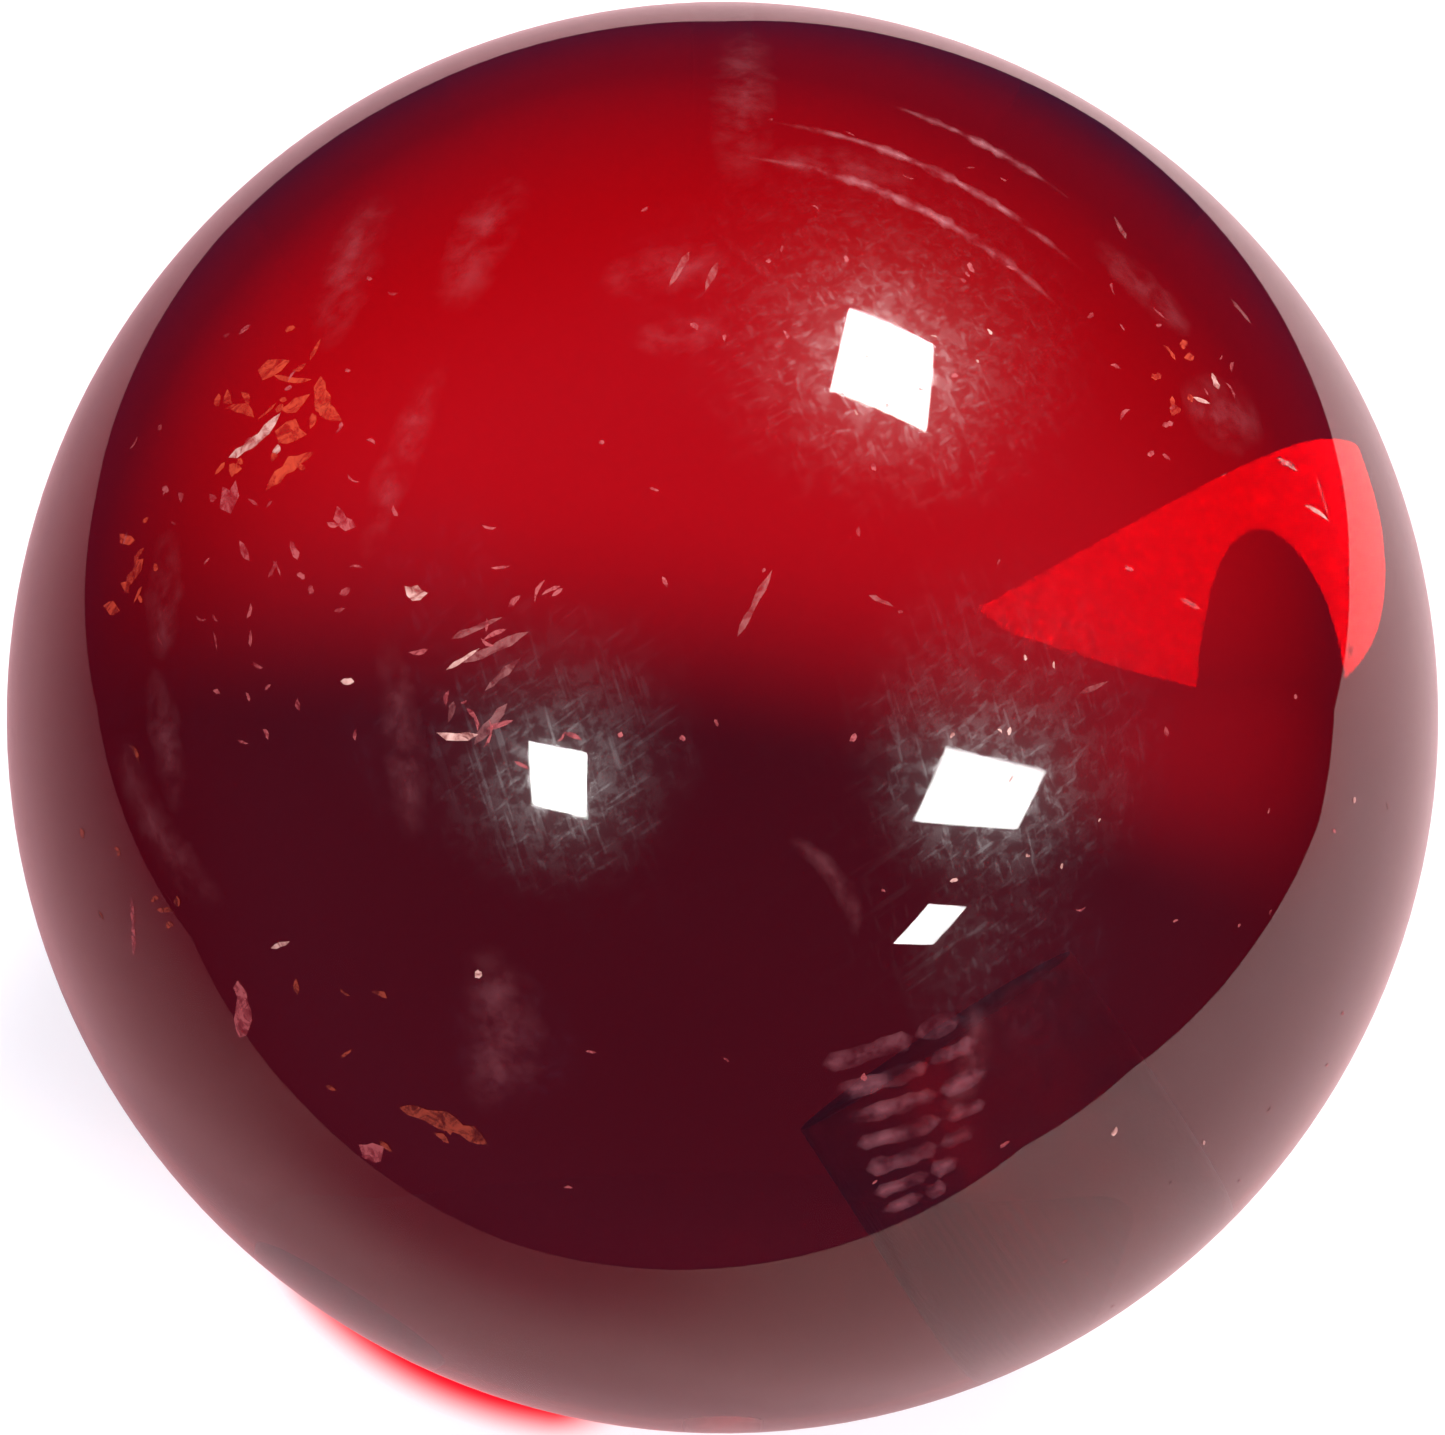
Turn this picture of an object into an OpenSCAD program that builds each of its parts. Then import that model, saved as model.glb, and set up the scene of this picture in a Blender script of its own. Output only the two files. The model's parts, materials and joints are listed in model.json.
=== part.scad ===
// Tenpin bowling ball, cast in clear ruby polyester in three pours: a pancake weight
// block, a filler core around it, and a shell. It is drilled for a fingertip grip, with
// two finger inserts and a thumb slug.
//
// The origin is the ball's centre and +Z is up. The ball touches its floor at
// [0, 0, -ball_d / 2]. The grip faces -Y and slopes downward. Its fingers lie towards
// -X and its thumb towards +X.

/* [Ball] */
// Outer diameter of the ball
ball_d = 217; // [215.9:0.1:218.3]
// Radial thickness of the clear shell
cover_wall = 22; // [19:0.5:25]

/* [Weight block] */
// Diameter of the pancake weight block
block_d = 90; // [70:1:100]
// Thickness of the pancake weight block
block_h = 24; // [18:1:30]
// Radius of the rounded edge around both of its faces
block_edge_r = 4; // [2:0.5:6]
// Least thickness of filler over the block's rim
block_cover = 2; // [1:0.5:4]
// Diameter of the two pins that held the castings in their moulds
pin_d = 8; // [6:0.5:10]

/* [Grip] */
// Elevation of the grip's centre above the horizontal, on the -Y side
grip_elevation = -30; // [-45:1:45]
// Span over the surface, from the thumb hole's edge to the finger holes' edges
span = 102; // [95:1:118]
// Wall between the two finger pockets at the surface
bridge = 9.5; // [8:0.5:14]
// Distance by which a finger hole's axis passes outside the ball's centre
finger_pitch = 6.35; // [5:0.05:8]

/* [Finger inserts] */
// Outer diameter of a finger insert, and of its pocket
insert_od = 24.6; // [23.8:0.1:26]
// Diameter of a finger hole
finger_hole_d = 20.6; // [18:0.1:21.5]
// Depth of a finger pocket along its axis
insert_length = 32; // [28:0.5:33]

/* [Thumb slug] */
// Outer diameter of the thumb slug, and of its pocket
slug_od = 31.8; // [31.2:0.1:35]
// Diameter of the thumb hole
thumb_hole_d = 25.4; // [22:0.1:27]
// Length of the slug along its axis
slug_length = 70; // [66:0.5:72]
// Depth of the thumb hole along its axis
thumb_hole_depth = 63.5; // [55:0.5:64]

/* [Finish] */
// Radius that the lip at the mouth of each hole follows
lip_r = 1.5; // [0.8:0.1:1.8]
// Diameter of the punched centre-of-gravity mark
cg_mark_d = 2.4; // [1.6:0.1:3]
// Distance over the surface from the locator pin to that mark
cg_mark_offset = 24; // [16:1:30]

/* [Hidden] */
$fn = 96;
ball_r = ball_d / 2;
core_r = ball_r - cover_wall;
// Top face of the weight block, measured from the ball's centre
block_top = sqrt(pow(core_r - block_cover, 2) - pow(block_d / 2, 2));
// Angles that arcs over the surface subtend at the ball's centre
span_angle = (span + (thumb_hole_d + finger_hole_d) / 2) / ball_r * 180 / PI;
cg_mark_angle = cg_mark_offset / ball_r * 180 / PI;
finger_side_angle = asin((bridge + insert_od) / 2 / ball_r);
pitch_angle = asin(finger_pitch / ball_r);
// Heights of the hole mouths above the ball's centre, along the holes' axes
finger_mouth = sqrt(pow(ball_r, 2) - pow(finger_pitch, 2));
// A cutter reaches this far beyond the face that it opens
over = 4;
// Cones that make up a hole's lip
lip_facets = 2;

// +Z becomes the grip's axis. The fingers lie towards local -Y, which becomes -X, and
// the thumb towards local +Y.
module grip_frame() {
    rotate([90 - grip_elevation, 0, 0]) rotate([0, 0, -90]) children();
}

// +Z becomes the line from the ball's centre through a finger hole's mouth
module finger_mouth_frame(side) {
    grip_frame() rotate([span_angle / 2, 0, 0])
        rotate([0, side * finger_side_angle, 0]) children();
}

// +Z becomes a finger hole's axis, with z measured from the ball's centre
module finger_frame(side) {
    grip_frame() rotate([span_angle / 2, 0, 0])
        rotate([0, side * (finger_side_angle - pitch_angle), 0])
            translate([side * finger_pitch, 0, 0]) children();
}

// +Z becomes the thumb hole's axis
module thumb_frame() {
    grip_frame() rotate([-span_angle / 2, 0, 0]) children();
}

// A straight cylinder between two heights
module rod(d, low, high) {
    translate([0, 0, low]) cylinder(d = d, h = high - low);
}

module finger_pocket(side) {
    finger_frame(side) rod(insert_od, finger_mouth - insert_length, ball_r + over);
}

module thumb_pocket() {
    thumb_frame() rod(slug_od, ball_r - slug_length, ball_r + over);
}

// Everything that the driller cuts away before the inserts are glued in
module drilled_pockets() {
    for (side = [-1, 1]) finger_pocket(side);
    thumb_pocket();
}

// Ring that eases the mouth of a hole with a few narrow cones. Their edges lie on an
// arc that is tangent to the hole's wall and to the ball's surface, and the first and
// last cones run on past those two, so that each crosses its neighbour at an angle.
module lip_cutter(hole_d) {
    arc_x = hole_d / 2 + lip_r;
    centre = [arc_x, sqrt(pow(ball_r - lip_r, 2) - pow(arc_x, 2))];
    step = (180 - atan2(centre.y, centre.x)) / lip_facets;
    arc = [for (i = [0:lip_facets])
        centre + lip_r * [cos(180 - i * step), sin(180 - i * step)]];
    first = 1.5 * arc[0] - 0.5 * arc[1];
    last = 2.5 * arc[lip_facets] - 1.5 * arc[lip_facets - 1];
    rotate_extrude() polygon(concat(
        [[0, first.y], first],
        [for (i = [1:lip_facets - 1]) arc[i]],
        [last, [last.x, ball_r + over], [0, ball_r + over]]));
}

// Weight block before drilling: a disc with rounded edges
module block_blank() {
    flat_r = block_d / 2 - block_edge_r;
    translate([0, 0, block_top - block_h]) rotate_extrude() {
        square([flat_r, block_h]);
        translate([flat_r - 0.01, block_edge_r])
            square([block_edge_r + 0.01, block_h - 2 * block_edge_r]);
        for (z = [block_edge_r, block_h - block_edge_r])
            translate([flat_r, z]) circle(r = block_edge_r);
    }
}

module coverstock() {
    color([0.63, 0.05, 0.10]) difference() {
        sphere(r = ball_r);
        sphere(r = core_r);
        drilled_pockets();
        grip_frame() {
            rod(pin_d, core_r - over, ball_r + over);
            rotate([cg_mark_angle, 0, 0]) translate([0, 0, ball_r]) sphere(d = cg_mark_d);
        }
    }
}

module filler_core() {
    color([0.57, 0.04, 0.09]) difference() {
        sphere(r = core_r);
        grip_frame() {
            block_blank();
            rod(pin_d, block_top - over, core_r + over);
        }
        drilled_pockets();
    }
}

module weight_block() {
    color([0.50, 0.03, 0.08]) difference() {
        grip_frame() block_blank();
        drilled_pockets();
    }
}

// Pin through the filler, from the weight block to the filler's surface
module core_pin() {
    color([0.93, 0.90, 0.82]) intersection() {
        grip_frame() rod(pin_d, block_top, core_r + over);
        sphere(r = core_r);
    }
}

// Pin through the shell. It shows as a dot at the centre of the grip.
module locator_pin() {
    color([0.95, 0.93, 0.88]) difference() {
        intersection() {
            grip_frame() rod(pin_d, core_r - over, ball_r + over);
            sphere(r = ball_r);
        }
        sphere(r = core_r);
    }
}

// Open tube, flush with the ball's surface
module finger_insert(side) {
    difference() {
        intersection() {
            finger_pocket(side);
            sphere(r = ball_r);
        }
        finger_frame(side) rod(finger_hole_d, finger_mouth - insert_length - over, ball_r + over);
        finger_mouth_frame(side) lip_cutter(finger_hole_d);
    }
}

module middle_finger_insert() {
    color([0.13, 0.13, 0.14]) finger_insert(1);
}

module ring_finger_insert() {
    color([0.13, 0.13, 0.14]) finger_insert(-1);
}

module thumb_slug() {
    color([0.16, 0.16, 0.17]) difference() {
        intersection() {
            thumb_pocket();
            sphere(r = ball_r);
        }
        thumb_frame() {
            rod(thumb_hole_d, ball_r - thumb_hole_depth, ball_r + over);
            lip_cutter(thumb_hole_d);
        }
    }
}

coverstock();
filler_core();
weight_block();
core_pin();
locator_pin();
middle_finger_insert();
ring_finger_insert();
thumb_slug();
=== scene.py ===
import json
import math
import random

import bmesh
import bpy
from mathutils import Matrix, Vector


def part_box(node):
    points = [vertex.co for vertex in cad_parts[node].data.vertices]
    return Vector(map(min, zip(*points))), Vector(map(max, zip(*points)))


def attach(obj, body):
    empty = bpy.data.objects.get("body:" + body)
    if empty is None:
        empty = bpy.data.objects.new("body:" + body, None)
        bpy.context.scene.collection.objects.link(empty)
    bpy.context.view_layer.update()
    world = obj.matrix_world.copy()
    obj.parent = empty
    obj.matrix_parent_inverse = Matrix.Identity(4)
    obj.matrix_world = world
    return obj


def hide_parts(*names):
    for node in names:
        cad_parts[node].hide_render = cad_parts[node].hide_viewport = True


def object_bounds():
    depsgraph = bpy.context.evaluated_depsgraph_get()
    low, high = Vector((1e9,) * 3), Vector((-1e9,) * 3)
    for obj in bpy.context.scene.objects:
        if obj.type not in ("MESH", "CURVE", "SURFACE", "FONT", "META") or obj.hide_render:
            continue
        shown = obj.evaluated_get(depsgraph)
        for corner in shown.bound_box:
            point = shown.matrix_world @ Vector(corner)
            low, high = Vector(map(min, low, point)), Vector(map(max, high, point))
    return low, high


# A clear ruby bowling ball on a pale table. Its three castings have the same refractive
# index, so only the ball's outer face bends light, and the bonds between the castings
# hardly show. Lengths are in metres.

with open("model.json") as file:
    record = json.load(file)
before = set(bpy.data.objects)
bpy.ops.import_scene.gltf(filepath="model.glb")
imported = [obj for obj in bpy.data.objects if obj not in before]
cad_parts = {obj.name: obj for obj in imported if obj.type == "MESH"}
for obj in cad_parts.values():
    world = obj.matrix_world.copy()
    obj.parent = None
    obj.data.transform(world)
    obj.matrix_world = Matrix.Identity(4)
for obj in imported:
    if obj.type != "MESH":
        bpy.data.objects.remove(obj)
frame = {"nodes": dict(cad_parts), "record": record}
cad_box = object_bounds()
nodes = frame["nodes"]
mounts = {m["name"]: m for m in frame["record"]["mounts"]}
scene = bpy.context.scene

BALL_R = (cad_box[1][2] - cad_box[0][2]) / 2
CORE_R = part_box("filler_core")[1][2]
FLOOR_Z = cad_box[0][2]
MM = 0.001

rng = random.Random(11)


# ---- Directions on the ball ---------------------------------------------------------

def direction(azimuth, elevation):
    """Unit vector. Azimuth runs from +X towards +Y, in degrees."""
    az, el = math.radians(azimuth), math.radians(elevation)
    return Vector((math.cos(el) * math.cos(az), math.cos(el) * math.sin(az), math.sin(el)))


def hole(name):
    """A hole's axis, the middle of its length, and its radius."""
    mount = mounts[name]
    return Vector(mount["axis"]), Vector(mount["pos_m"]), mount["dims"]["r_mm"] * MM


pin_low, pin_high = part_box("locator_pin")
GRIP = (Vector(pin_low) + Vector(pin_high)).normalized()
PIN_R = 4 * MM
# Length of a cutter for a pin's hole, which runs out of the casting
PIN_CUT = 34 * MM
INSERT_WALL = 2 * MM
SLUG_WALL = 3.2 * MM
INSERT_LENGTH = 32 * MM
SLUG_LENGTH = 70 * MM
# A cutter reaches this far beyond the face that it opens
OVER = 10 * MM
# The resin runs this far into a piece that is glued in it, so that no gap is left
GRAB = 0.1 * MM


# ---- Mesh helpers -------------------------------------------------------------------

def add_object(name, bm, materials):
    mesh = bpy.data.meshes.new(name)
    bm.to_mesh(mesh)
    bm.free()
    obj = bpy.data.objects.new(name, mesh)
    scene.collection.objects.link(obj)
    for material in materials:
        mesh.materials.append(material)
    mesh.polygons.foreach_set("use_smooth", [True] * len(mesh.polygons))
    return obj


def ball_mesh(radius, subdivisions, inward=False):
    bm = bmesh.new()
    bmesh.ops.create_icosphere(bm, subdivisions=subdivisions, radius=radius)
    if inward:
        bmesh.ops.reverse_faces(bm, faces=bm.faces)
    return bm


def rod_mesh(axis, base, length, radius, segments=96):
    """A closed cylinder that starts at base and runs along axis."""
    bm = bmesh.new()
    turn = axis.to_track_quat("Z", "Y").to_matrix().to_4x4()
    place = Matrix.Translation(base + axis * length / 2) @ turn
    bmesh.ops.create_cone(bm, cap_ends=True, segments=segments, radius1=radius,
                          radius2=radius, depth=length, matrix=place)
    return bm


def cut(obj, cutters):
    """Takes the cutters out of obj. A cutter's faces keep the cutter's own material."""
    for cutter in cutters:
        step = obj.modifiers.new("cut", "BOOLEAN")
        step.operation = "DIFFERENCE"
        step.solver = "EXACT"
        step.material_mode = "TRANSFER"
        step.object = cutter
    depsgraph = bpy.context.evaluated_depsgraph_get()
    result = bpy.data.meshes.new_from_object(obj.evaluated_get(depsgraph))
    obj.modifiers.clear()
    obj.data = result
    for cutter in cutters:
        bpy.data.objects.remove(cutter)


def round_normals(obj, spheres):
    """Exact normals on spheres round the origin. spheres lists each radius, with 1 where
    its faces look outward and -1 where they look inward. Other faces stay flat."""
    mesh = obj.data
    tolerance = 0.02 * MM
    normals = []
    for poly in mesh.polygons:
        corners = [mesh.vertices[i].co for i in poly.vertices]
        side = 0
        for radius, facing in spheres:
            if all(abs(c.length - radius) < tolerance for c in corners):
                side = facing
        normals += [c.normalized() * side if side else poly.normal for c in corners]
    mesh.normals_split_custom_set(normals)


# ---- Materials ----------------------------------------------------------------------

def new_material(name):
    material = bpy.data.materials.new(name)
    material.use_nodes = True
    return material, material.node_tree, material.node_tree.nodes["Principled BSDF"]


def node(tree, kind, inputs=(), **settings):
    made = tree.nodes.new("ShaderNode" + kind)
    for key, value in settings.items():
        setattr(made, key, value)
    for key, value in dict(inputs).items():
        if isinstance(value, bpy.types.NodeSocket):
            tree.links.new(value, made.inputs[key])
        else:
            made.inputs[key].default_value = value
    return made


def math_node(tree, operation, a, b=0.0, clamp=False):
    return node(tree, "Math", {0: a, 1: b}, operation=operation, use_clamp=clamp).outputs[0]


def position(tree):
    return node(tree, "TexCoord").outputs["Object"]


def distance(tree, point=(0, 0, 0)):
    return node(tree, "VectorMath", {0: position(tree), 1: point},
                operation="DISTANCE").outputs["Value"]


def noise(tree, where, scale, detail, roughness=0.55, distortion=0.0):
    made = node(tree, "TexNoise", {"Vector": where, "Scale": scale, "Detail": detail,
                                   "Roughness": roughness, "Distortion": distortion})
    return made.outputs["Fac"]


def ramp(tree, value, first, last, low=0.0, high=1.0):
    """A colour that runs from first at the value low to last at the value high."""
    made = node(tree, "ValToRGB", {"Fac": value})
    for element, at, colour in zip(made.color_ramp.elements, (low, high), (first, last)):
        element.position = at
        element.color = (*colour, 1)
    return made


def remap(tree, value, low, high, out_low=0.0, out_high=1.0, smooth=True):
    kind = "SMOOTHSTEP" if smooth else "LINEAR"
    return node(tree, "MapRange", {"Value": value, "From Min": low, "From Max": high,
                                   "To Min": out_low, "To Max": out_high},
                interpolation_type=kind).outputs["Result"]


def stretched(tree, where, along, squeeze):
    """Coordinates in which a noise becomes streaks that run along a direction."""
    turn = along.to_track_quat("X", "Z").inverted().to_euler()
    turned = node(tree, "Mapping", {"Vector": where, "Rotation": turn})
    return node(tree, "Mapping", {"Vector": turned.outputs[0],
                                  "Scale": (squeeze, 1.0, 1.0)}).outputs[0]


def near(tree, unit, centre, inner, outer):
    """1 within inner degrees of a direction on the ball, fading to 0 at outer degrees."""
    dot = node(tree, "VectorMath", {0: unit, 1: centre}, operation="DOT_PRODUCT").outputs["Value"]
    return remap(tree, dot, math.cos(math.radians(outer)), math.cos(math.radians(inner)))


def bump(tree, height, depth):
    return node(tree, "Bump", {"Height": height, "Distance": depth}).outputs["Normal"]


def glowing(name, colour, strength):
    """Reflects nothing and only glows."""
    material, tree, shader = new_material(name)
    shader.inputs["Base Color"].default_value = (0, 0, 0, 1)
    shader.inputs["Specular IOR Level"].default_value = 0.0
    shader.inputs["Emission Color"].default_value = (*colour, 1)
    shader.inputs["Emission Strength"].default_value = strength
    return material, tree, shader


RUBY_ABSORPTION = (0.902, 0.0, 0.03, 1.0)
RUBY_DENSITY = 40.0
RESIN_IOR = 1.56

# Where play has hazed the polish: direction, full and fading radius in degrees, strength
HAZE_SPOTS = [
    (direction(38, 76), 7, 17, 0.75),
    (direction(-118, 66), 3, 11, 0.8),
    (direction(-45, 62), 4, 13, 0.85),
    (direction(-60, 48), 2, 9, 0.5),
    (direction(-150, 69), 1, 7, 0.5),
    (direction(-135, 61), 1, 7, 0.4),
    (direction(-160, 45), 1, 8, 0.35),
    (direction(-110, 46), 1, 6, 0.55),
    (direction(95, 80), 1, 9, 0.4),
]


def ruby_resin():
    """Clear polyester, polished, with fine scratches and hazy patches from the lanes."""
    material, tree, shader = new_material("ruby_resin")
    where = position(tree)
    unit = node(tree, "VectorMath", {0: where}, operation="NORMALIZE").outputs[0]

    streaks = [remap(tree, noise(tree, stretched(tree, where, Vector(along), 0.05), 1300, 1.0),
                     0.58, 0.70)
               for along in ((0.8, 0.5, 0.2), (-0.3, 0.9, 0.3))]
    scratches = math_node(tree, "MAXIMUM", streaks[0], streaks[1])
    mottle = remap(tree, noise(tree, where, 460, 3.0, 0.7), 0.38, 0.66)
    spots = 0.0
    for centre, inner, outer, strength in HAZE_SPOTS:
        spot = math_node(tree, "MULTIPLY", near(tree, unit, centre, inner, outer), strength)
        spots = math_node(tree, "MAXIMUM", spot, spots)
    ragged = math_node(tree, "MULTIPLY", spots, remap(tree, mottle, 0.0, 1.0, 0.35, 1.0))
    haze = math_node(tree, "ADD", math_node(tree, "MULTIPLY", mottle, 0.02), ragged, clamp=True)

    wear = math_node(tree, "MULTIPLY", scratches, remap(tree, haze, 0.0, 0.6, 0.12, 1.0))
    roughness = math_node(tree, "ADD", 0.012, math_node(tree, "MULTIPLY", haze, 0.055))
    coat = math_node(tree, "ADD", math_node(tree, "MULTIPLY", haze, 0.60),
                     math_node(tree, "MULTIPLY", wear, 0.5), clamp=True)

    shader.inputs["Base Color"].default_value = (1, 1, 1, 1)
    shader.inputs["Transmission Weight"].default_value = 1.0
    shader.inputs["IOR"].default_value = RESIN_IOR
    shader.inputs["Coat Roughness"].default_value = 0.29
    shader.inputs["Coat IOR"].default_value = 1.5
    tree.links.new(roughness, shader.inputs["Roughness"])
    tree.links.new(coat, shader.inputs["Coat Weight"])
    absorb = node(tree, "VolumeAbsorption", {"Color": RUBY_ABSORPTION, "Density": RUBY_DENSITY})
    tree.links.new(absorb.outputs[0], tree.nodes["Material Output"].inputs["Volume"])
    return material


def bond(name, colour, alpha):
    """Where two castings meet: almost nothing shows but a faint veil of dust."""
    material, tree, shader = new_material(name)
    shader.inputs["Base Color"].default_value = (*colour, 1)
    shader.inputs["Roughness"].default_value = 0.5
    shader.inputs["Specular IOR Level"].default_value = 0.0
    shader.inputs["Alpha"].default_value = alpha
    return material


def drilled_resin():
    """Resin as a drill leaves it: frosted."""
    material, tree, shader = new_material("drilled_resin")
    grain = noise(tree, position(tree), 900, 3.0)
    tone = ramp(tree, grain, (0.16, 0.006, 0.012), (0.42, 0.03, 0.045))
    tree.links.new(tone.outputs[0], shader.inputs["Base Color"])
    tree.links.new(remap(tree, grain, 0.3, 0.7, 0.35, 0.6), shader.inputs["Roughness"])
    tree.links.new(bump(tree, grain, 0.0001), shader.inputs["Normal"])
    return material


def moulded(name, dark, light, roughness, grain_scale, rub):
    """Moulded vinyl or urethane with a fine grain, paler where fingers rub it."""
    material, tree, shader = new_material(name)
    where = position(tree)
    grain = noise(tree, where, grain_scale, 4.0, 0.6)
    clouds = noise(tree, where, 70, 3.0)
    mouth = remap(tree, distance(tree), BALL_R - 6 * MM, BALL_R, 0.0, rub)
    rubbed = math_node(tree, "ADD", mouth, math_node(tree, "MULTIPLY", grain, 0.25))
    mix = math_node(tree, "ADD", math_node(tree, "MULTIPLY", clouds, 0.6), rubbed, clamp=True)
    tree.links.new(ramp(tree, mix, dark, light).outputs[0], shader.inputs["Base Color"])
    gloss = remap(tree, mix, 0.2, 0.9, roughness + 0.1, roughness - 0.1)
    tree.links.new(gloss, shader.inputs["Roughness"])
    tree.links.new(bump(tree, grain, 0.00008), shader.inputs["Normal"])
    return material


def pale_resin(name, colour):
    """Pale cast rod with faint swirls."""
    material, tree, shader = new_material(name)
    swirl = noise(tree, position(tree), 240, 4.0, 0.6, 1.5)
    tone = ramp(tree, swirl, [0.72 * c for c in colour], colour)
    tree.links.new(tone.outputs[0], shader.inputs["Base Color"])
    tree.links.new(remap(tree, swirl, 0.3, 0.7, 0.22, 0.34), shader.inputs["Roughness"])
    shader.inputs["Coat Weight"].default_value = 0.6
    shader.inputs["Coat Roughness"].default_value = 0.05
    return material


def fracture(name, deep, bright, alpha, soft=False):
    """A crack or a scuff, which scatters the light: ragged, brighter in places. A soft one
    is weaker towards the mark's edge, as the mesh's attribute fade says."""
    material, tree, shader = new_material(name)
    where = position(tree)
    if soft:
        flecks = noise(tree, where, 240, 3.0, 0.6)
        fade = node(tree, "Attribute", attribute_name="fade").outputs["Fac"]
        cover = math_node(tree, "MULTIPLY", remap(tree, flecks, 0.25, 0.75, 0.0, alpha), fade)
    else:
        flecks = noise(tree, where, 420, 5.0, 0.7, 0.8)
        cover = remap(tree, flecks, 0.34, 0.58, alpha * 0.35, alpha)
    tone = ramp(tree, flecks, deep, bright, 0.36, 0.66)
    tree.links.new(tone.outputs[0], shader.inputs["Base Color"])
    tree.links.new(cover, shader.inputs["Alpha"])
    shader.inputs["Roughness"].default_value = 0.6
    shader.inputs["Coat Weight"].default_value = 0.3
    shader.inputs["Coat Roughness"].default_value = 0.03
    return material


RESIN = ruby_resin()
SHELL_BOND = bond("shell_bond", (0.45, 0.03, 0.06), 0.012)
FILLER_BOND = bond("filler_bond", (0.45, 0.03, 0.06), 0.012)
BLOCK_RESIN = bond("block_resin", (0.30, 0.015, 0.04), 0.07)
DRILLED = drilled_resin()
VINYL = moulded("insert_vinyl", (0.03, 0.004, 0.006), (0.08, 0.014, 0.018), 0.45, 1400, 0.35)
URETHANE = moulded("slug_urethane", (0.09, 0.006, 0.009), (0.20, 0.015, 0.021), 0.40, 900, 0.3)
PIN_RESIN = pale_resin("pin_resin", (0.85, 0.80, 0.68))
ORANGE = fracture("fracture_orange", (0.40, 0.012, 0.010), (0.80, 0.085, 0.03), 0.75)
PINK = fracture("fracture_pink", (0.36, 0.02, 0.035), (0.70, 0.16, 0.16), 0.60)
PALE = fracture("fracture_pale", (0.50, 0.14, 0.12), (0.90, 0.55, 0.46), 0.90)
SCUFF = fracture("scuff", (0.42, 0.08, 0.09), (0.72, 0.30, 0.28), 0.30)
RUST = fracture("fracture_rust", (0.14, 0.010, 0.004), (0.40, 0.05, 0.02), 0.80)
# A ladder of pale bars on the ball's near side
LADDER = fracture("ladder_bars", (0.34, 0.07, 0.10), (0.55, 0.17, 0.20), 0.36, soft=True)
TRACK = fracture("track_scuff", (0.50, 0.09, 0.12), (0.75, 0.30, 0.32), 0.60, soft=True)
SMEAR = fracture("smear", (0.48, 0.09, 0.11), (0.60, 0.18, 0.21), 0.16, soft=True)


# ---- The castings -------------------------------------------------------------------

def pocket_cutters(material):
    """The drilled pockets: two for finger inserts, and one for the thumb slug."""
    cutters = []
    for name, wall, depth in (("middle_finger_hole", INSERT_WALL, INSERT_LENGTH),
                              ("ring_finger_hole", INSERT_WALL, INSERT_LENGTH),
                              ("thumb_hole", SLUG_WALL, SLUG_LENGTH)):
        axis, middle, radius = hole(name)
        foot = axis.dot(middle) * axis - middle
        mouth = math.sqrt(BALL_R ** 2 - foot.length_squared)
        base = middle + axis * (mouth - depth - axis.dot(middle))
        bm = rod_mesh(axis, base, depth + OVER, radius + wall - GRAB)
        cutters.append(add_object("pocket_cutter", bm, [material]))
    return cutters


def pin_cutter(depth, material):
    """The hole of a pin, which starts at a depth under the core's surface."""
    bm = rod_mesh(GRIP, GRIP * (CORE_R - depth), PIN_CUT, PIN_R - GRAB, 64)
    return add_object("pin_cutter", bm, [material])


def make_shell():
    shell = add_object("ruby_shell", ball_mesh(BALL_R, 6), [RESIN])
    core = add_object("core_cutter", ball_mesh(CORE_R + GRAB, 6), [SHELL_BOND])
    cut(shell, [core, pin_cutter(4 * MM, RESIN)] + pocket_cutters(RESIN))
    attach(shell, "root")
    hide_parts("coverstock")
    return shell


def make_filler():
    filler = add_object("filler_ball", ball_mesh(CORE_R, 5), [FILLER_BOND])
    cut(filler, [pin_cutter(20 * MM, FILLER_BOND)] + pocket_cutters(DRILLED))
    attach(filler, "root")
    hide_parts("filler_core")


shell = make_shell()
make_filler()
round_normals(shell, [(BALL_R, 1), (CORE_R + GRAB, -1)])

CAD_MATERIALS = {"weight_block": BLOCK_RESIN, "core_pin": PIN_RESIN, "locator_pin": PIN_RESIN,
                 "middle_finger_insert": VINYL, "ring_finger_insert": VINYL,
                 "thumb_slug": URETHANE}
for name, material in CAD_MATERIALS.items():
    slots = nodes[name].material_slots
    for slot in slots:
        slot.material = material
    if not slots:
        nodes[name].data.materials.append(material)


# ---- Marks of use -------------------------------------------------------------------

# Height of the marks over the polish
MARK_LIFT = 0.06 * MM
# Distance between two rows of a mark's corners, in millimetres, and of a ring's, in degrees
MARK_STEP = 1.2
RING_STEP = 0.8


def fade_layer(bm):
    """How strong a soft mark is at each corner, from 0 to 1."""
    layers = bm.verts.layers.float
    return layers.get("fade") or layers.new("fade")


def join_rows(bm, rows):
    for a, b in zip(rows, rows[1:]):
        for k in range(len(a) - 1):
            bm.faces.new((a[k], b[k], b[k + 1], a[k + 1]))


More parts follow.
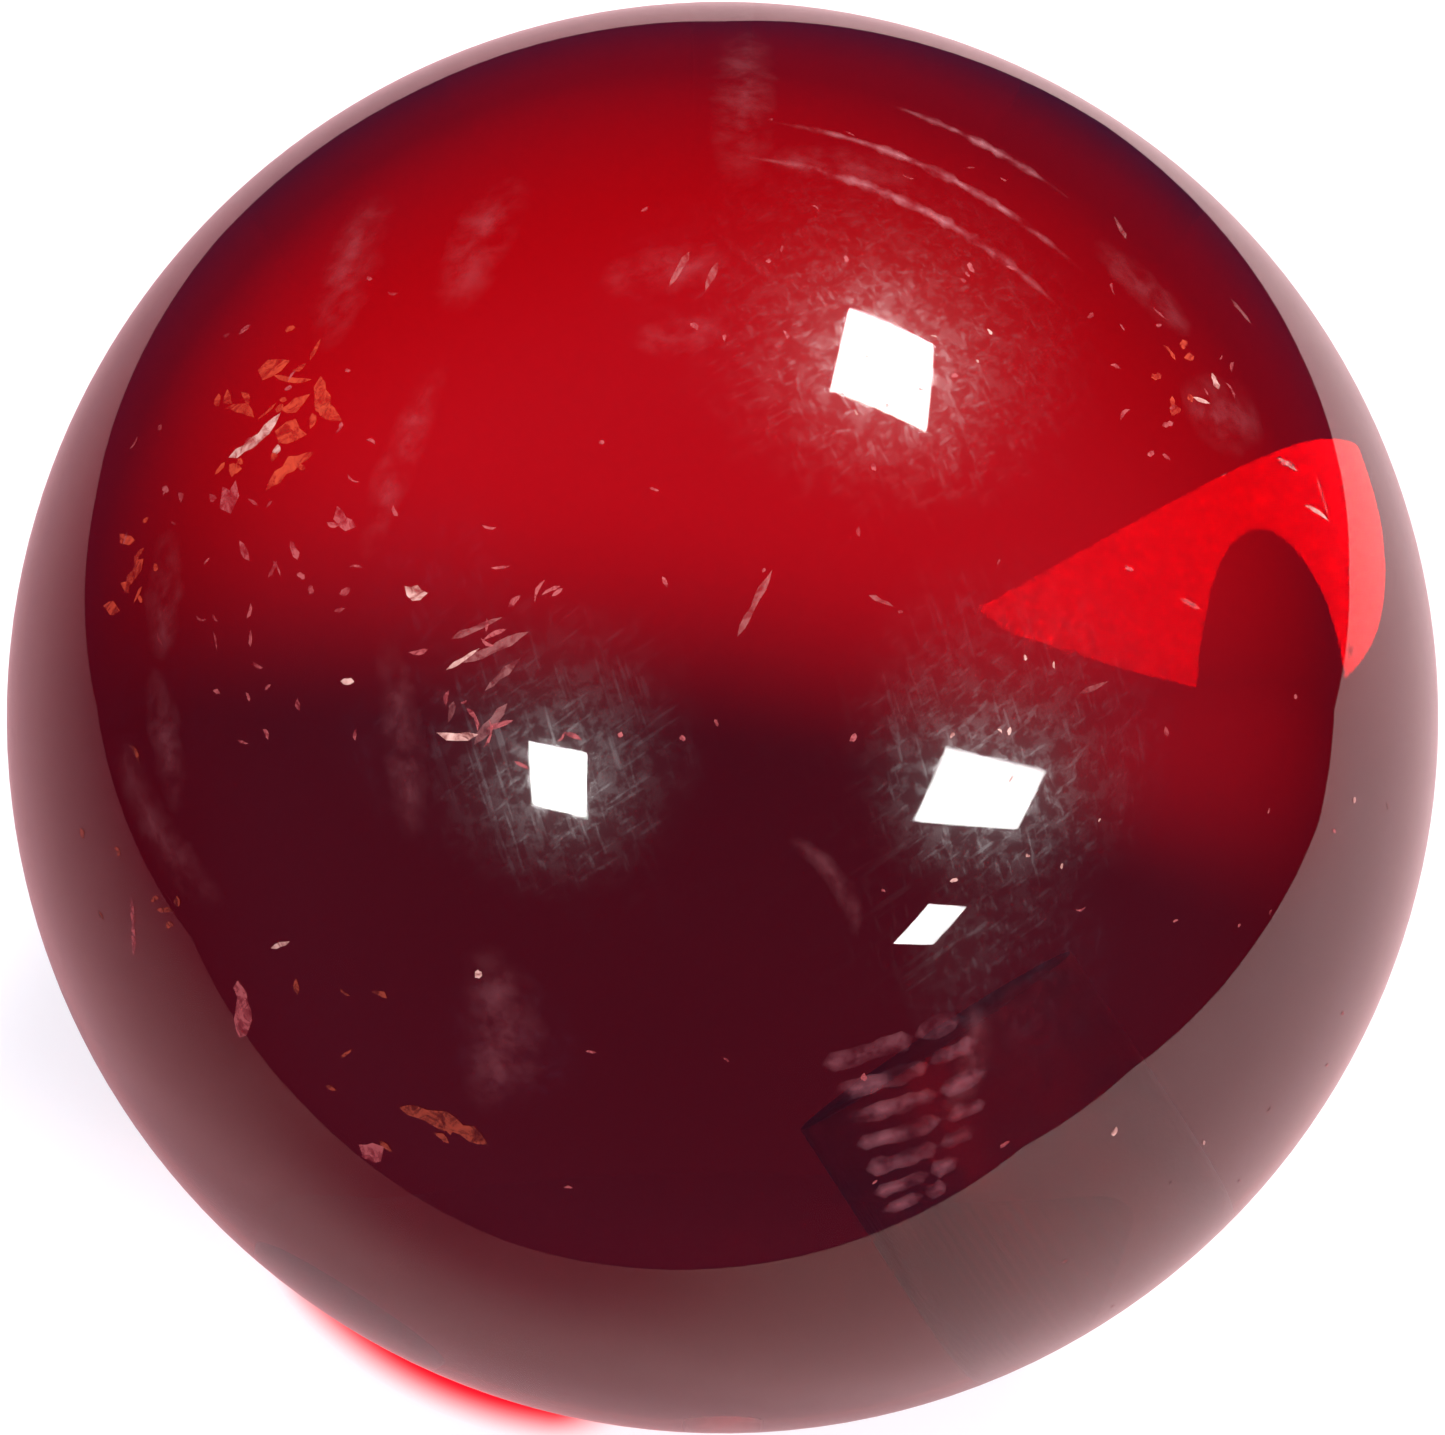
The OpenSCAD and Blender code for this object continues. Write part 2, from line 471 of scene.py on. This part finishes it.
def add_mark(bm, azimuth, elevation, heading, length, width, bend=0.0, ragged=0.35,
             blunt=False):
    """A thin ragged patch that hugs the ball. heading and bend are in degrees, from east,
    and length and width are in millimetres. A blunt one is broad and strong to near its
    ends."""
    centre = direction(azimuth, elevation)
    east = Vector((0, 0, 1)).cross(centre).normalized()
    north = centre.cross(east)
    steps = max(4, int(length / MARK_STEP))
    fade = fade_layer(bm)
    edge = 0.4 if blunt else 0.0
    rows = []
    for i in range(steps + 1):
        t = i / steps - 0.5
        turn = math.radians(heading + bend * t)
        along = east * math.cos(turn) + north * math.sin(turn)
        across = north * math.cos(turn) - east * math.sin(turn)
        inward = max(0.0, 1 - (2 * t) ** 2)
        if blunt:
            inward = min(1.0, 2.5 * inward)
        taper = inward ** 0.35
        half = width / 2 * taper * (1 + rng.uniform(-ragged, ragged))
        wander = width * ragged * rng.uniform(-0.3, 0.3) * taper
        row = []
        for side in (-1, 0, 1):
            offset = along * (t * length) + across * (side * half + wander)
            spot = (centre * BALL_R + offset * MM).normalized() * (BALL_R + MARK_LIFT)
            row.append(bm.verts.new(spot))
            row[-1][fade] = edge * inward if side else inward
        rows.append(row)
    join_rows(bm, rows)


def add_cluster(bm, azimuth, elevation, spread, count, length, width):
    """Small marks scattered over spread degrees round a direction."""
    for _ in range(count):
        down = spread * math.sqrt(rng.random())
        turn = rng.uniform(0, 2 * math.pi)
        el = elevation + down * math.sin(turn)
        az = azimuth + down * math.cos(turn) / math.cos(math.radians(el))
        add_mark(bm, az, el, rng.uniform(0, 180), rng.uniform(0.5, 1.3) * length,
                 rng.uniform(0.5, 1.3) * width, rng.uniform(-40, 40))


def finish_marks(name, bm, material):
    bmesh.ops.remove_doubles(bm, verts=bm.verts, dist=0.001 * MM)
    obj = add_object(name, bm, [material])
    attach(obj, "root")


def mark_object(name, material, marks, clusters=(), **style):
    """One object that holds single marks and clusters of small ones."""
    bm = bmesh.new()
    for mark in marks:
        add_mark(bm, *mark, **style)
    for cluster in clusters:
        add_cluster(bm, *cluster)
    finish_marks(name, bm, material)


# Azimuth, elevation, heading, length, width, bend
ORANGE_MARKS = [
    (166, 57, 100, 5.5, 2.6, 20), (171, 55, 70, 6.5, 1.1, -25), (171, 62, 20, 6.0, 2.6, 10),
    (174, 63, 60, 5.0, 1.5, 0), (176, 60, 75, 5.5, 2.6, 0), (-179, 60, 115, 8.5, 1.9, -20),
    (168, 59, 80, 7.0, 1.0, 15), (172, 60, 110, 5.0, 1.8, 30),
    (-178, 44, 60, 4.5, 1.7, 20), (-174, 45, 120, 5.0, 1.9, 0), (-172, 42, 60, 4.5, 1.5, 0),
]
PINK_MARKS = [
    (-177, 55, 95, 5.5, 2.8, 130), (-170, 56, 20, 3.5, 1.0, 0), (-167, 60, 10, 3.0, 1.0, 0),
    (-168, 64, 30, 4.5, 1.5, 40), (-119, 32.5, 60, 4.5, 3.0, 0), (-147, 32, 125, 9.0, 1.0, 10),
    (-134, 36, 115, 9.0, 2.2, 25), (5, 47, 95, 4.0, 1.0, 0),
]
PALE_MARKS = [
    (176, 57, 120, 9.5, 1.5, 25), (178, 59, 0, 1.4, 1.2, 0), (-151, 67, 40, 3.5, 1.6, 40),
    (-137, 67, 75, 5.0, 0.7, 0), (-130, 63, 35, 5.5, 0.9, 20), (-147, 60, 50, 2.0, 0.7, 0),
    (10, 55, 80, 3.0, 0.6, 0), (5, 47, 80, 4.5, 0.6, 10), (1, 44, 85, 6.0, 0.7, 12),
    (-57, 32, 60, 1.6, 0.9, 0), (-50, 24, 90, 1.3, 0.5, 0), (-22, 34, 0, 0.9, 0.9, 0),
    (-115, 50, 0, 1.0, 1.0, 0), (-134, 43, 60, 3.5, 0.7, 0), (13, 53, 7, 2.5, 1.2, 0),
]
SCRATCHES = [
    (-139, 69, 67, 7.0, 0.9, 0), (-134, 69, 65, 9.0, 1.0, 0), (-130, 68, 79, 6.0, 0.9, 0),
    (-127, 65, 84, 6.5, 1.1, 0), (-133, 64, 114, 2.7, 0.8, 0), (-81, 77, 54, 9.0, 0.8, 0),
    (-51, 74, 119, 3.3, 0.6, 0), (105, 79, 51, 6.0, 0.9, 0), (94, 80, 67, 5.0, 0.9, 0),
    (35, 54, 159, 4.2, 0.9, 0), (-17, 56, 94, 3.4, 0.7, 0), (-34, 60, 148, 4.5, 0.7, 0),
    (23, 46, 24, 4.3, 1.0, 0), (3, 43, 19, 5.6, 1.0, 0),
]

# A cluster is azimuth, elevation, spread in degrees, count, length and width
mark_object("fractures_orange", ORANGE, ORANGE_MARKS,
            [(171, 58, 6, 16, 2.6, 0.9), (-176, 45, 4, 6, 2.2, 0.8), (13, 56, 4, 8, 2.4, 0.8)])
mark_object("fractures_pink", PINK, PINK_MARKS,
            [(178, 55, 16, 26, 2.0, 0.6), (-155, 62, 13, 20, 2.2, 0.5),
             (12, 56, 8, 16, 2.0, 0.5), (-132, 68, 7, 16, 3.0, 0.6),
             (-60, 45, 40, 40, 1.2, 0.5), (60, 72, 14, 22, 1.4, 0.5)])
mark_object("chips_pale", PALE, PALE_MARKS, [(30, 74, 9, 8, 0.8, 0.4), (-50, 60, 8, 10, 0.9, 0.4)])
mark_object("fractures_rust", RUST, [(-114, 38.3, 2, 12.5, 2.6, -20)],
            [(-122, 39, 7, 8, 2.2, 0.7), (-150, 36, 8, 8, 3.0, 0.9)])


def add_ring(bm, axis, radius, start, end, width):
    """Part of a scuffed ring that the ball's track leaves round its spin axis."""
    side = Vector((1, 0, 0)) - axis * axis.x
    side.normalize()
    other = axis.cross(side)
    steps = int((end - start) / RING_STEP)
    fade = fade_layer(bm)
    rows = []
    for i in range(steps + 1):
        t = i / steps
        turn = math.radians(start + (end - start) * t)
        outward = side * math.cos(turn) + other * math.sin(turn)
        inward = math.sin(math.pi * min(max(t, 0.02), 0.98))
        half = width / 2 * math.sqrt(inward) * rng.uniform(0.6, 1.3)
        row = []
        for k in (-1, 0, 1):
            tilt = math.radians(radius) + k * half * MM / BALL_R
            spot = axis * math.cos(tilt) + outward * math.sin(tilt)
            row.append(bm.verts.new(spot * (BALL_R + MARK_LIFT)))
            row[-1][fade] = 0.0 if k else inward
        rows.append(row)
    join_rows(bm, rows)


TRACK_AXIS = direction(-103.6, 72.3)
# Angular radius, start and end round the axis, width in millimetres
TRACK_RINGS = [(43.1, 45, 81, 2.2), (38.7, 44, 82, 2.4), (49.0, 52, 71, 2.4)]
bm = bmesh.new()
for ring in TRACK_RINGS:
    add_ring(bm, TRACK_AXIS, *ring)
finish_marks("track_rings", bm, TRACK)

mark_object("scuffs", SCUFF, SCRATCHES)

# A ladder of pale bars on the ball's near side: azimuth, elevation, heading, length
BARS = [
    (-74.0, 47.0, 4, 17.0), (-73.2, 44.7, 4, 18.0), (-72.9, 42.4, 2, 17.5),
    (-72.8, 40.2, 2, 16.5), (-73.3, 38.1, 5, 14.0), (-74.1, 36.0, 8, 11.0),
    (-74.5, 34.2, 10, 8.5),
]
BAR_WIDTH = 2.6
BAR_BEND = 3
# Each bar is a long piece and a short one: where its centre lies, and its share of the bar
BAR_PIECES = ((-0.17, 0.70), (0.36, 0.38))


def bar_piece(bar, place, share):
    azimuth, elevation, heading, length = bar
    shift = math.degrees(place * length * MM / BALL_R)
    east = shift * math.cos(math.radians(heading)) / math.cos(math.radians(elevation))
    north = shift * math.sin(math.radians(heading))
    return azimuth + east, elevation + north, heading, share * length, BAR_WIDTH, BAR_BEND


mark_object("ladder_marks", LADDER, [bar_piece(bar, *piece) for bar in BARS for piece in BAR_PIECES],
            ragged=0.25, blunt=True)

# Faint dull smears, with the same order of numbers as the marks above
SMEARS = [
    (87, 60.6, 91, 46, 9, 0), (150, 59.3, 23, 28, 10, 0), (138, 67.8, 26, 24, 10, 0),
    (-176, 68.7, 155, 28, 6, 0), (-111, 46.3, 101, 26, 12, 20), (-156.5, 44.7, 163, 20, 7, 10),
    (-136, 60.5, 140, 26, 6, 10), (-150.5, 40, 5, 30, 8, 20), (109, 78.8, 170, 18, 8, 0),
    (117, 84, 163, 13, 6, 0), (-67, 43.5, 64, 19, 5, 30), (-76, 59, 113, 16, 3, 30),
    (26, 56, 24, 18, 8, 0), (68, 67.6, 19, 20, 8, 0), (-170, 48, 166, 18, 8, 0),
    (9, 53, 100, 16, 12, 0),
]
mark_object("smears", SMEAR, SMEARS, ragged=0.12)


# ---- Stage: the table, the room's lights and the camera ------------------------------

# Heights of the ball's shade, of the sheet that lights the ball from below, and of the lamps
SHADE_Z = FLOOR_Z - 0.5 * MM
LIGHT_Z = -2 * BALL_R
CEILING = 2.2


def stage_polygon(name, points, z, material, seen_by):
    """A flat sheet that only the named kinds of ray see."""
    bm = bmesh.new()
    bm.faces.new([bm.verts.new((x, y, z)) for x, y in points])
    sheet = add_object(name, bm, [material])
    # Rays that reach a sheet see it, but no light is sampled from it
    material.cycles.emission_sampling = "NONE"
    for kind in ("camera", "diffuse", "glossy", "transmission", "shadow"):
        setattr(sheet, "visible_" + kind, kind in seen_by)


def pale_floor():
    """White floor that takes shadows near the ball and glows evenly farther away."""
    material, tree, shader = new_material("pale_floor")
    far = remap(tree, distance(tree), 0.6, 2.2)
    tone = ramp(tree, far, (0.86, 0.86, 0.86), (0, 0, 0))
    tree.links.new(tone.outputs[0], shader.inputs["Base Color"])
    shader.inputs["Specular IOR Level"].default_value = 0.0
    shader.inputs["Emission Color"].default_value = (1, 1, 1, 1)
    tree.links.new(remap(tree, far, 0.0, 1.0, 0.22, 1.0, smooth=False),
                   shader.inputs["Emission Strength"])
    return material


def red_light():
    """Red light that leaks out under the ball on its near left side, as a soft crescent."""
    material, tree, shader = glowing("red_light", (1, 0.012, 0.03), 1.0)
    arc = distance(tree, (-0.2 * BALL_R, -0.2 * BALL_R, FLOOR_Z))
    outer = remap(tree, arc, 0.670 * BALL_R, 0.735 * BALL_R, 1.0, 0.0)
    inner = remap(tree, arc, 0.30 * BALL_R, 0.62 * BALL_R)
    spot = remap(tree, distance(tree, (-0.47 * BALL_R, -0.72 * BALL_R, FLOOR_Z)),
                 0.24 * BALL_R, 0.36 * BALL_R, 1.0, 0.0)
    cover = math_node(tree, "MULTIPLY", math_node(tree, "MULTIPLY", outer, inner), spot)
    tree.links.new(cover, shader.inputs["Alpha"])
    return material


def ball_shade():
    """The ball's own shade on the table, as it is seen through the ball: soft, round the
    point where they touch, and wider in front of it."""
    material, tree, shader = glowing("ball_shade", (1, 1, 1), 0.13)
    xyz = node(tree, "SeparateXYZ", {0: position(tree)})
    x, y = xyz.outputs["X"], xyz.outputs["Y"]
    across = math_node(tree, "ADD", math_node(tree, "MULTIPLY", x, 0.07),
                       math_node(tree, "MULTIPLY", math_node(tree, "MAXIMUM", x, 0.0), 0.13))
    lit = remap(tree, math_node(tree, "ADD", y, across), 0.34 * BALL_R, 0.525 * BALL_R)
    corner = distance(tree, (0.30 * BALL_R, 0.37 * BALL_R, SHADE_Z))
    lit_corner = remap(tree, corner, 0.13 * BALL_R, 0.02 * BALL_R, 0.0, 0.6)
    lit = math_node(tree, "MAXIMUM", lit, lit_corner)
    behind = remap(tree, y, -0.35 * BALL_R, -0.8 * BALL_R)
    sides = remap(tree, math_node(tree, "ABSOLUTE", x), 0.45 * BALL_R, 0.8 * BALL_R)
    lit = math_node(tree, "MAXIMUM", lit, math_node(tree, "MAXIMUM", behind, sides))
    tree.links.new(math_node(tree, "SUBTRACT", 1.0, lit), shader.inputs["Alpha"])
    return material


def light_below():
    """What lights the ball from below: brightest behind its far side."""
    material, tree, shader = glowing("light_below", (1, 1, 1), 1.0)
    away = distance(tree, (0.12 * BALL_R, 0.75 * BALL_R, LIGHT_Z))
    tree.links.new(remap(tree, away, 0.1 * BALL_R, 0.75 * BALL_R, 1.26, 0.46, smooth=False),
                   shader.inputs["Emission Strength"])
    return material


def table_top():
    """Pale and pinkish, with painted shade: darker towards the far left and in one patch near the
    viewer.
    """
    material, tree, shader = new_material("table_top")
    x = node(tree, "SeparateXYZ", {0: position(tree)}).outputs["X"]
    # Painted shade: the tone darkens towards the far left and round a patch near the viewer
    shade_patch = distance(tree, (-0.18, -0.42, FLOOR_Z))
    place = math_node(tree, "SUBTRACT", x, remap(tree, shade_patch, 0.26, 0.08, 0.0, 0.4))
    tone = ramp(tree, remap(tree, place, -0.65, 0.45, smooth=False),
                (0.36, 0.09, 0.14), (0.84, 0.60, 0.60))
    for at, colour in ((0.48, (0.59, 0.32, 0.33, 1)), (0.70, (0.66, 0.42, 0.41, 1))):
        tone.color_ramp.elements.new(at).color = colour
    tree.links.new(tone.outputs[0], shader.inputs["Base Color"])
    shader.inputs["Roughness"].default_value = 0.6
    return material


def square(half):
    return [(-half, -half), (half, -half), (half, half), (-half, half)]


TABLE = [
    (-0.72, -0.28), (-0.42, -0.38), (-0.18, -0.43), (0.52, -0.75), (0.70, -0.60), (0.67, -0.25),
    (0.63, -0.08), (0.72, 0.05), (0.53, 0.17), (0.30, 0.24), (0.14, 0.27), (0.09, 0.32),
    (0.0, 0.40), (-0.14, 0.34), (-0.22, 0.26), (-0.40, 0.19), (-0.58, 0.05),
]
# The part of lamp b that the ball shows again, mirrored by its far side
LAMP_B_INSIDE = [(-0.77, -1.15), (-1.40, -1.525), (-1.385, -1.32), (-1.30, -0.89), (-0.86, -1.07)]
stage_polygon("floor", square(6), FLOOR_Z - 1 * MM, pale_floor(), {"camera"})
stage_polygon("table", TABLE, FLOOR_Z, table_top(), {"glossy"})
stage_polygon("red_light", square(0.15), FLOOR_Z - 0.8 * MM, red_light(), {"camera"})
stage_polygon("ball_shade", square(3), SHADE_Z, ball_shade(), {"transmission"})
stage_polygon("light_below", square(3), LIGHT_Z, light_below(), {"transmission"})
lamp_glow, _, _ = glowing("lamp_b_inside", (1, 1, 1), 46)
stage_polygon("lamp_b_inside", LAMP_B_INSIDE, CEILING, lamp_glow, {"transmission"})


def lamp(name, x, y, height, size, power, turn, glossy=True):
    """A ceiling panel that faces down, turned by degrees round Z. size is its length along
    X and along Y before that."""
    light = bpy.data.lights.new(name, "AREA")
    light.shape = "RECTANGLE"
    light.size, light.size_y = size
    light.energy = power
    obj = bpy.data.objects.new(name, light)
    scene.collection.objects.link(obj)
    obj.location = (x, y, height)
    obj.rotation_euler[2] = math.radians(turn)
    obj.visible_camera = False
    obj.visible_transmission = False
    obj.visible_glossy = glossy


lamp("lamp_a", 1.06, 1.62, CEILING, (0.65, 0.95), 60, -14)
lamp("lamp_b", -1.10, -1.25, CEILING, (0.42, 0.50), 25, -10)
lamp("lamp_c", 2.10, -1.45, CEILING, (1.30, 0.60), 60, -12)
lamp("lamp_d", 2.07, -3.00, CEILING, (0.60, 0.60), 25, -20)
lamp("fill", 0.0, 0.0, 3.0, (4.0, 4.0), 90, 0, glossy=False)

# Red light that leaks under the ball on its near left side
glow = bpy.data.lights.new("red_glow", "POINT")
glow.energy = 0.05
glow.color = (1, 0.02, 0.02)
glow.shadow_soft_size = 4 * MM
glow_at = bpy.data.objects.new("red_glow", glow)
scene.collection.objects.link(glow_at)
glow_at.location = (-0.40 * BALL_R, -0.72 * BALL_R, FLOOR_Z + 5 * MM)
glow_at.visible_camera = glow_at.visible_transmission = glow_at.visible_glossy = False

world = bpy.data.worlds.new("room")
scene.world = world
world.use_nodes = True
tree = world.node_tree
rays = node(tree, "LightPath")
# The room is darker behind the ball than above it and in front of it
skyward = node(tree, "TexCoord").outputs["Generated"]
front = node(tree, "VectorMath", {0: skyward, 1: (0, -0.6, 0.8)},
             operation="DOT_PRODUCT").outputs["Value"]
walls = node(tree, "Mix", {"Factor": remap(tree, front, -0.25, 0.45), "A": (0.06, 0.02, 0.07, 1),
                           "B": (0.08, 0.075, 0.19, 1)}, data_type="RGBA")
through = node(tree, "Mix", {"Factor": rays.outputs["Is Transmission Ray"],
                             "A": walls.outputs["Result"], "B": (0.35, 0.33, 0.33, 1)},
               data_type="RGBA")
seen = node(tree, "Mix", {"Factor": rays.outputs["Is Camera Ray"],
                          "A": through.outputs["Result"], "B": (1, 1, 1, 1)}, data_type="RGBA")
tree.links.new(seen.outputs["Result"], tree.nodes["Background"].inputs["Color"])

CAMERA_ELEVATION = math.radians(70)
CAMERA_DISTANCE = 4.05 * BALL_R
# Share of the image's width that the ball's radius takes
BALL_IN_VIEW = 0.4955
# In millimetres, as Blender takes it
SENSOR_WIDTH = 36
camera = bpy.data.cameras.new("camera")
camera_at = bpy.data.objects.new("camera", camera)
scene.collection.objects.link(camera_at)
scene.camera = camera_at
back = Vector((0, -math.cos(CAMERA_ELEVATION), math.sin(CAMERA_ELEVATION)))
camera_at.location = back * CAMERA_DISTANCE
camera_at.rotation_euler = (-back).to_track_quat("-Z", "Y").to_euler()
camera.sensor_width = SENSOR_WIDTH
camera.lens = SENSOR_WIDTH * BALL_IN_VIEW / math.tan(math.asin(BALL_R / CAMERA_DISTANCE))
camera.clip_start = 0.01

scene.view_settings.view_transform = "Standard"
scene.cycles.transparent_max_bounces = 24
